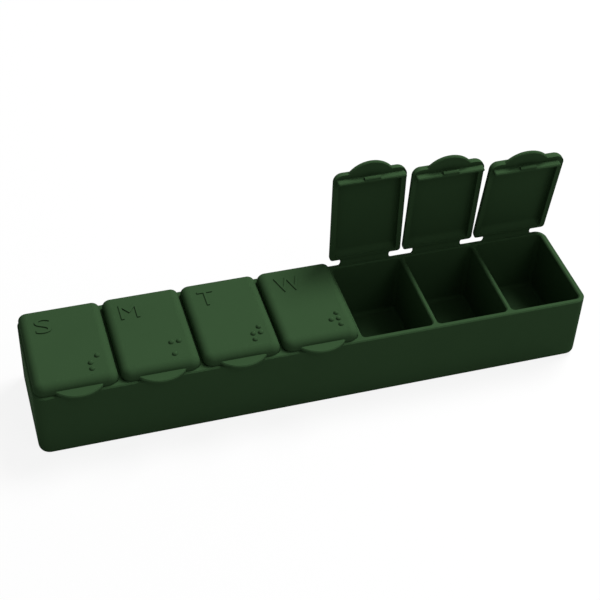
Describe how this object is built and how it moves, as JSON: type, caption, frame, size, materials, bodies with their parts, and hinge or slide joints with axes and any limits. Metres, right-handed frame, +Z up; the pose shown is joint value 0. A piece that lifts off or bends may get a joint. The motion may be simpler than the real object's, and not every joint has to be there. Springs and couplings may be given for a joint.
{
  "type": "weekly pill box",
  "caption": "Long moulded pill box with a row of day compartments, each under its own snap lid with a thumb tab on a living hinge.",
  "frame": {"origin": "centre of the tray's flat underside", "axes": "+X along the row of days from the first day to the last, +Y to the hinge side, +Z up"},
  "size_m": [0.15, 0.0359, 0.0544],
  "materials": {
    "green_plastic": "fine satin moulding texture, dark green"
  },
  "bodies": {
    "tray": {"tray": "green_plastic", "hinge_strip_1": "green_plastic", "hinge_strip_2": "green_plastic", "hinge_strip_3": "green_plastic", "hinge_strip_4": "green_plastic", "hinge_strip_5": "green_plastic", "hinge_strip_6": "green_plastic", "hinge_strip_7": "green_plastic"},
    "lid_1": {"lid_1": "green_plastic"},
    "lid_2": {"lid_2": "green_plastic"},
    "lid_3": {"lid_3": "green_plastic"},
    "lid_4": {"lid_4": "green_plastic"},
    "lid_5": {"lid_5": "green_plastic"},
    "lid_6": {"lid_6": "green_plastic"},
    "lid_7": {"lid_7": "green_plastic"}
  },
  "joints": [
    {"name": "lid_1_hinge", "type": "hinge", "parent": "tray", "child": "lid_1", "pos_m": [-0.06347, 0.0153, 0.0214], "axis": [-1, 0, 0], "range_deg": [0, 175], "deforming": ["hinge_strip_1"]},
    {"name": "lid_2_hinge", "type": "hinge", "parent": "tray", "child": "lid_2", "pos_m": [-0.04231, 0.0153, 0.0214], "axis": [-1, 0, 0], "range_deg": [0, 175], "deforming": ["hinge_strip_2"]},
    {"name": "lid_3_hinge", "type": "hinge", "parent": "tray", "child": "lid_3", "pos_m": [-0.02116, 0.0153, 0.0214], "axis": [-1, 0, 0], "range_deg": [0, 175], "deforming": ["hinge_strip_3"]},
    {"name": "lid_4_hinge", "type": "hinge", "parent": "tray", "child": "lid_4", "pos_m": [0, 0.0153, 0.0214], "axis": [-1, 0, 0], "range_deg": [0, 175], "deforming": ["hinge_strip_4"]},
    {"name": "lid_5_hinge", "type": "hinge", "parent": "tray", "child": "lid_5", "pos_m": [0.02116, 0.0153, 0.0214], "axis": [-1, 0, 0], "range_deg": [-91.5, 83.5], "deforming": ["hinge_strip_5"]},
    {"name": "lid_6_hinge", "type": "hinge", "parent": "tray", "child": "lid_6", "pos_m": [0.04231, 0.0153, 0.0214], "axis": [-1, 0, 0], "range_deg": [-86.5, 88.5], "deforming": ["hinge_strip_6"]},
    {"name": "lid_7_hinge", "type": "hinge", "parent": "tray", "child": "lid_7", "pos_m": [0.06347, 0.0153, 0.0214], "axis": [-1, 0, 0], "range_deg": [-81.5, 93.5], "deforming": ["hinge_strip_7"]}
  ]
}
